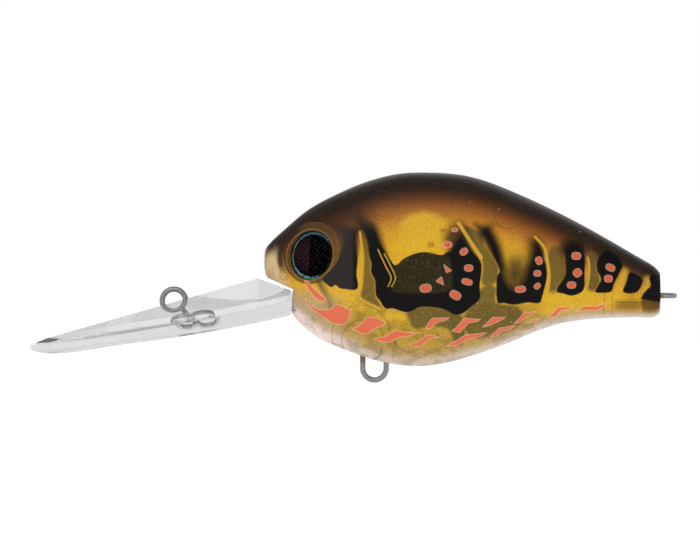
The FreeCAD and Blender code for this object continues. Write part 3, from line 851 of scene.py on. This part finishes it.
class Recipe:
    """A material and short ways to add nodes to it."""

    def __init__(self, name):
        self.material = bpy.data.materials.new(name)
        self.material.use_nodes = True
        self.tree = self.material.node_tree
        self.shader = self.tree.nodes["Principled BSDF"]

    def plug(self, socket, value):
        """Links another node's output to a socket, or sets the socket's own value."""
        if isinstance(value, bpy.types.NodeSocket):
            self.tree.links.new(value, socket)
        elif value is not None:
            socket.default_value = value

    def set(self, **values):
        for name, value in values.items():
            self.plug(self.shader.inputs[name.replace("_", " ")], value)

    def attribute(self, name, output="Fac"):
        node = self.tree.nodes.new("ShaderNodeAttribute")
        node.attribute_name = name
        return node.outputs[output]

    def place(self):
        return self.tree.nodes.new("ShaderNodeTexCoord").outputs["Object"]

    def axis(self, name):
        node = self.tree.nodes.new("ShaderNodeSeparateXYZ")
        self.plug(node.inputs[0], self.place())
        return node.outputs[name]

    def math(self, operation, a, b=None, c=None):
        node = self.tree.nodes.new("ShaderNodeMath")
        node.operation = operation
        for socket, value in zip(node.inputs, (a, b, c)):
            self.plug(socket, value)
        return node.outputs[0]

    def times(self, a, b):
        return self.math("MULTIPLY", a, b)

    def noise(self, size_mm, detail=3.0, roughness=0.55):
        node = self.tree.nodes.new("ShaderNodeTexNoise")
        self.plug(node.inputs["Vector"], self.place())
        node.inputs["Scale"].default_value = 1 / (size_mm * MM)
        node.inputs["Detail"].default_value = detail
        node.inputs["Roughness"].default_value = roughness
        return node.outputs["Fac"]

    def cells(self, size_mm):
        node = self.tree.nodes.new("ShaderNodeTexVoronoi")
        self.plug(node.inputs["Vector"], self.place())
        node.inputs["Scale"].default_value = 1 / (size_mm * MM)
        return node.outputs["Distance"]

    def step(self, value, low, high):
        """0 at low and 1 at high, smooth between; low may be the larger of the two."""
        node = self.tree.nodes.new("ShaderNodeMapRange")
        node.interpolation_type = "SMOOTHSTEP"
        for name, item in (("Value", value), ("From Min", low), ("From Max", high)):
            self.plug(node.inputs[name], item)
        return node.outputs["Result"]

    def mix(self, share, a, b):
        node = self.tree.nodes.new("ShaderNodeMix")
        node.data_type = "RGBA"
        self.plug(node.inputs["Factor"], share)
        self.plug(node.inputs[6], linear(a) if isinstance(a, tuple) else a)
        self.plug(node.inputs[7], linear(b) if isinstance(b, tuple) else b)
        return node.outputs[2]

    def bump(self, height, distance_mm, strength=1.0):
        node = self.tree.nodes.new("ShaderNodeBump")
        node.inputs["Strength"].default_value = strength
        node.inputs["Distance"].default_value = distance_mm * MM
        self.plug(node.inputs["Height"], height)
        self.set(Normal=node.outputs["Normal"])


def stained(r, colour, depth, grain):
    """Blotches and flakes on the lower side, and speckle where the back fades to gold."""
    lower = r.step(depth, 16.0, 24.0)
    blotch = r.times(r.step(r.noise(2.6, 4.0), 0.46, 0.62), r.times(lower, 0.35))
    colour = r.mix(blotch, colour, OLIVE_GREEN)
    mottle = r.times(r.step(grain, 0.5, 0.62), 0.28)
    colour = r.mix(mottle, colour, MOTTLE_BROWN)
    flake = r.times(r.step(r.noise(0.22, 2.0, 0.5), 0.64, 0.7), r.times(lower, 0.6))
    colour = r.mix(flake, colour, FLAKE_GOLD)
    upper = r.times(r.step(depth, 2.5, 6.0), r.step(depth, 17.0, 9.0))
    dots = r.step(r.cells(0.62), 0.2, 0.12)
    rare = r.step(r.noise(0.9, 2.0), 0.5, 0.58)
    speckle = r.times(r.times(dots, rare), r.times(upper, 0.75))
    colour = r.mix(speckle, colour, SPECKLE_BROWN)
    fine = r.times(r.step(r.noise(0.2, 3.0, 0.6), 0.55, 0.68), r.times(upper, 0.4))
    return r.mix(fine, colour, FINE_BROWN)


def patched(r, colour, grain):
    """Hairlines, faint spots, and the dark patches with the olive window in the first claw."""
    hair = r.times(r.step(r.attribute("hair_mm"), -0.16, -0.03), 0.5)
    colour = r.mix(hair, colour, HAIR_BROWN)
    faint = r.times(r.step(r.attribute("faint_mm"), -0.15, 0.25), 0.5)
    colour = r.mix(faint, colour, FAINT_ORANGE)
    in_claw = r.step(r.attribute("claw_mm"), -0.12, 0.12)
    in_window = r.step(r.attribute("window_mm"), -1.1, -0.5)
    olive = r.mix(r.step(grain, 0.5, 0.7), DEEP_OLIVE, WINDOW_OLIVE)
    colour = r.mix(r.times(in_claw, in_window), colour, olive)
    blur = r.attribute("black_blur")
    black = r.step(r.attribute("black_mm"), r.times(blur, -1.0), blur)
    black = r.times(black, r.math("SUBTRACT", 1.0, r.attribute("window_share")))
    head = r.step(r.axis("X"), (NOSE[0] + 17.5) * MM, (NOSE[0] + 16.0) * MM)
    return r.mix(black, colour, r.mix(head, PATCH_BLACK, CHARCOAL))


def decorated(r, colour, depth):
    """Painted highlights along the ridges, orange spots and salmon dashes, and a little dust on the
    back.
    """
    # painted highlight: brighter gold along each moulded ridge
    gold = r.step(r.attribute("ridge_highlight_mm"), -0.08, 0.1)
    colour = r.mix(r.times(gold, 0.9), colour, RIDGE_HIGHLIGHT_GOLD)
    spot = r.attribute("spot_mm")
    colour = r.mix(r.times(r.step(spot, -0.14, -0.02), 0.5), colour, SPOT_RIM)
    colour = r.mix(r.step(spot, 0.02, 0.2), colour, SPOT_ORANGE)
    dash = r.attribute("dash_mm")
    colour = r.mix(r.times(r.step(dash, -0.12, -0.02), 0.5), colour, DASH_RIM)
    colour = r.mix(r.step(dash, 0.0, 0.16), colour, DASH_SALMON)
    dust = r.times(r.step(r.cells(3.1), 0.045, 0.03), r.step(depth, 7.0, 4.0))
    return r.mix(r.times(dust, 0.7), colour, DUST_GREY)


def paint_material():
    """Airbrushed paint with a soft sheen, over the moulded plastic."""
    r = Recipe("craw_paint")
    depth = r.attribute("depth_mm")
    grain = r.noise(0.34, 5.0, 0.7)
    colour = stained(r, r.attribute("coat", "Color"), depth, grain)
    colour = patched(r, colour, grain)
    colour = decorated(r, colour, depth)
    r.set(Base_Color=colour, Roughness=r.math("MULTIPLY_ADD", grain, 0.12, 0.36))
    r.set(Coat_Weight=0.03, Coat_Roughness=0.15, Specular_IOR_Level=0.08)
    r.bump(r.noise(0.5, 3.0), 0.012, 0.6)
    return r.material


def shell_material():
    """The moulded amber plastic under the paint."""
    r = Recipe("amber_plastic")
    cloud = r.noise(3.0, 3.0)
    colour = r.mix(r.step(cloud, 0.35, 0.65), SHELL_AMBER, SHELL_BROWN)
    r.set(Base_Color=colour, Roughness=r.math("MULTIPLY_ADD", cloud, 0.15, 0.22))
    r.set(Subsurface_Weight=0.15, Coat_Weight=0.3, IOR=1.54)
    r.shader.inputs["Subsurface Radius"].default_value = (0.004, 0.002, 0.001)
    r.bump(r.noise(0.4, 2.0), 0.01, 0.5)
    return r.material


def bill_material():
    """Clear polycarbonate with a light grey tint and faint flow marks."""
    r = Recipe("clear_polycarbonate")
    flow = r.noise(5.0, 2.0)
    r.set(Base_Color=r.mix(flow, CLEAR_LIGHT, CLEAR_DARK))
    r.set(Roughness=r.math("MULTIPLY_ADD", r.noise(1.2, 2.0), 0.06, 0.03))
    r.set(Transmission_Weight=0.92, IOR=1.5)
    r.bump(r.noise(6.0, 1.0), 0.05, 0.35)
    return r.material


def steel_material(name, axis, start, full, tint):
    """Drawn stainless wire, tinted where it goes into the plastic; on the line tie inside the clear bill
    the tint is a painted pale cast.
    """
    r = Recipe(name)
    scratches = r.noise(0.25, 4.0, 0.7)
    colour = r.mix(r.step(scratches, 0.35, 0.7), STEEL, STEEL_DARK)
    shift = NOSE["XYZ".index(axis)]
    root = r.step(r.axis(axis), (shift + start) * MM, (shift + full) * MM)
    colour = r.mix(r.times(root, 0.8), colour, tint)
    r.set(Base_Color=colour, Metallic=1.0, Roughness=r.math("MULTIPLY_ADD", scratches, 0.25, 0.2))
    r.bump(scratches, 0.01, 0.5)
    return r.material


def eye_offset(recipe, side, direction):
    """How far a place lies from the eye's centre along a direction, in millimetres."""
    centre, *_ = eye_axes(side)
    node = recipe.tree.nodes.new("ShaderNodeVectorMath")
    node.operation = "SUBTRACT"
    recipe.plug(node.inputs[0], recipe.place())
    node.inputs[1].default_value = tuple(metres([tuple(centre)])[0])
    dot = recipe.tree.nodes.new("ShaderNodeVectorMath")
    dot.operation = "DOT_PRODUCT"
    recipe.plug(dot.inputs[0], node.outputs[0])
    dot.inputs[1].default_value = tuple(direction / MM)
    return dot.outputs["Value"]


def foil_material(side):
    """Printed iris foil: pale cyan in front and below, teal above, blue behind."""
    r = Recipe("iris_foil_" + SIDES[side])
    _, _, rearward, upward = eye_axes(side)
    rear = eye_offset(r, side, rearward)
    high = eye_offset(r, side, upward)
    square = r.math("ADD", r.math("POWER", rear, 2.0), r.math("POWER", high, 2.0))
    radius = r.math("SQRT", square)
    streaks = r.noise(0.35, 4.0, 0.7)
    colour = r.mix(r.step(high, -1.0, 4.0), FOIL_CYAN, FOIL_TEAL)
    low_rear = r.times(r.step(rear, 0.5, 4.0), r.step(high, 1.0, -3.0))
    colour = r.mix(low_rear, colour, FOIL_BLUE)
    colour = r.mix(r.times(r.step(rear, -1.0, -4.0), 0.7), colour, FOIL_PALE)
    colour = r.mix(r.step(streaks, 0.42, 0.6), colour, FOIL_STREAK)
    colour = r.mix(r.step(radius, EYE_R - 0.3, EYE_R - 0.12), colour, FOIL_EDGE)
    r.set(Base_Color=colour, Metallic=0.35, Roughness=0.3)
    r.bump(streaks, 0.02, 0.6)
    return r.material


def pupil_material(side):
    """Black print with a plum cast in its front half; the gloss is the lens's."""
    r = Recipe("pupil_" + SIDES[side])
    _, _, rearward, _ = eye_axes(side)
    rear = eye_offset(r, side, rearward)
    front = r.step(rear, -0.3, -0.9)
    cloud = r.noise(1.6, 3.0)
    plum = r.mix(r.step(cloud, 0.35, 0.65), PLUM_DARK, PLUM_LIGHT)
    r.set(Base_Color=r.mix(front, PUPIL_BLACK, plum))
    r.set(Roughness=r.math("MULTIPLY_ADD", cloud, 0.2, 0.4), Specular_IOR_Level=0.0)
    return r.material


def dome_material():
    """Clear moulded lens: see-through face on, glossy where it turns away."""
    r = Recipe("clear_lens")
    haze = r.noise(1.5, 2.0)
    fresnel = r.tree.nodes.new("ShaderNodeFresnel")
    fresnel.inputs["IOR"].default_value = 1.35
    r.set(Base_Color=r.mix(haze, LENS_DARK, LENS_LIGHT), Alpha=fresnel.outputs[0])
    r.set(Roughness=r.math("MULTIPLY_ADD", haze, 0.05, 0.04))
    return r.material


def ball_material():
    """Ground steel ball."""
    r = Recipe("ground_steel")
    marks = r.noise(0.3, 4.0, 0.7)
    r.set(Base_Color=r.mix(marks, BALL_LIGHT, BALL_DARK), Metallic=1.0)
    r.set(Roughness=r.math("MULTIPLY_ADD", marks, 0.2, 0.12))
    return r.material


def finish_node(name, material):
    """Gives a carried-over CAD node its material."""
    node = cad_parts[name]
    node.data.materials.clear()
    node.data.materials.append(material)


# ---------------------------------------------------------------- scene

def soft_light(name, place, watts):
    """A broad area lamp aimed at the lure."""
    light = bpy.data.lights.new(name, "AREA")
    light.shape = "RECTANGLE"
    light.size, light.size_y = LAMP_SIZE
    light.energy = watts
    lamp = bpy.data.objects.new(name, light)
    lamp.location = place
    aim = Vector(LAMP_TARGET) - Vector(place)
    lamp.rotation_euler = aim.to_track_quat("-Z", "Y").to_euler()
    bpy.context.scene.collection.objects.link(lamp)


def sky():
    """White at eye level, greyer overhead, so that clear plastic has edges to show."""
    world = bpy.data.worlds.new("studio")
    bpy.context.scene.world = world
    world.use_nodes = True
    tree = world.node_tree
    coords = tree.nodes.new("ShaderNodeTexCoord")
    split = tree.nodes.new("ShaderNodeSeparateXYZ")
    ramp = tree.nodes.new("ShaderNodeMapRange")
    ramp.interpolation_type = "SMOOTHSTEP"
    ramp.inputs["From Min"].default_value = SKY_WHITE_UNDER
    ramp.inputs["From Max"].default_value = SKY_GREY_ABOVE
    ramp.inputs["To Min"].default_value = 1.0
    ramp.inputs["To Max"].default_value = SKY_GREY
    tree.links.new(coords.outputs["Generated"], split.inputs[0])
    tree.links.new(split.outputs["Z"], ramp.inputs["Value"])
    tree.links.new(ramp.outputs["Result"], tree.nodes["Background"].inputs["Color"])


def floor():
    """A pale floor under the lowest point of the lure."""
    height = CAD_BOX[0][2]
    corners = [(x * FLOOR_HALF, y * FLOOR_HALF, height) for x, y in ((-1, -1), (1, -1), (1, 1), (-1, 1))]
    mesh = bpy.data.meshes.new("floor")
    mesh.from_pydata(corners, [], [(0, 1, 2, 3)])
    r = Recipe("pale_floor")
    r.set(Base_Color=r.mix(r.noise(20.0), FLOOR_LIGHT, FLOOR_DARK), Roughness=0.7)
    r.set(Specular_IOR_Level=0.1, Emission_Strength=FLOOR_GLOW)
    r.shader.inputs["Emission Color"].default_value = (1, 1, 1, 1)
    mesh.materials.append(r.material)
    ground = bpy.data.objects.new("floor", mesh)
    bpy.context.scene.collection.objects.link(ground)


def camera():
    """Looks square on at the left side of the lure."""
    data = bpy.data.cameras.new("camera")
    data.lens = data.sensor_width * VIEW_DISTANCE / VIEW_WIDTH
    data.clip_start = 0.01
    eye = bpy.data.objects.new("camera", data)
    eye.location = (VIEW_CENTRE[0], VIEW_CENTRE[1] - VIEW_DISTANCE, VIEW_CENTRE[2])
    eye.rotation_euler = (math.radians(90), 0, 0)
    bpy.context.scene.collection.objects.link(eye)
    bpy.context.scene.camera = eye


def half_and_eye(side, name, paint, dome):
    """Paint film, foil, pupil and lens of one side."""
    film = paint_film(side, "paint_film_" + name)
    film.data.materials.append(paint)
    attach(film, "lure")
    finish_node(name + "_eye_foil", foil_material(side))
    finish_node(name + "_eye_pupil", pupil_material(side))
    finish_node(name + "_eye_dome", dome)
    clear = lens(side, name + "_eye_lens")
    clear.data.materials.append(dome)
    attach(clear, "lure")
    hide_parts(name + "_eye_dome")


def main():
    sky()
    floor()
    camera()
    for name, place, watts in LAMPS:
        soft_light(name, place, watts)
    paint, dome = paint_material(), dome_material()
    shell, ball = shell_material(), ball_material()
    for side, name in SIDES.items():
        half_and_eye(side, name, paint, dome)
        finish_node("body_shell_" + name, shell)
    for name in BALLS:
        finish_node(name, ball)
    finish_node("diving_bill", bill_material())
    for node, name, axis, start, full, tint in WIRES:
        finish_node(node, steel_material(name, axis, start, full, tint))
    bpy.context.scene.view_settings.view_transform = "Standard"


main()
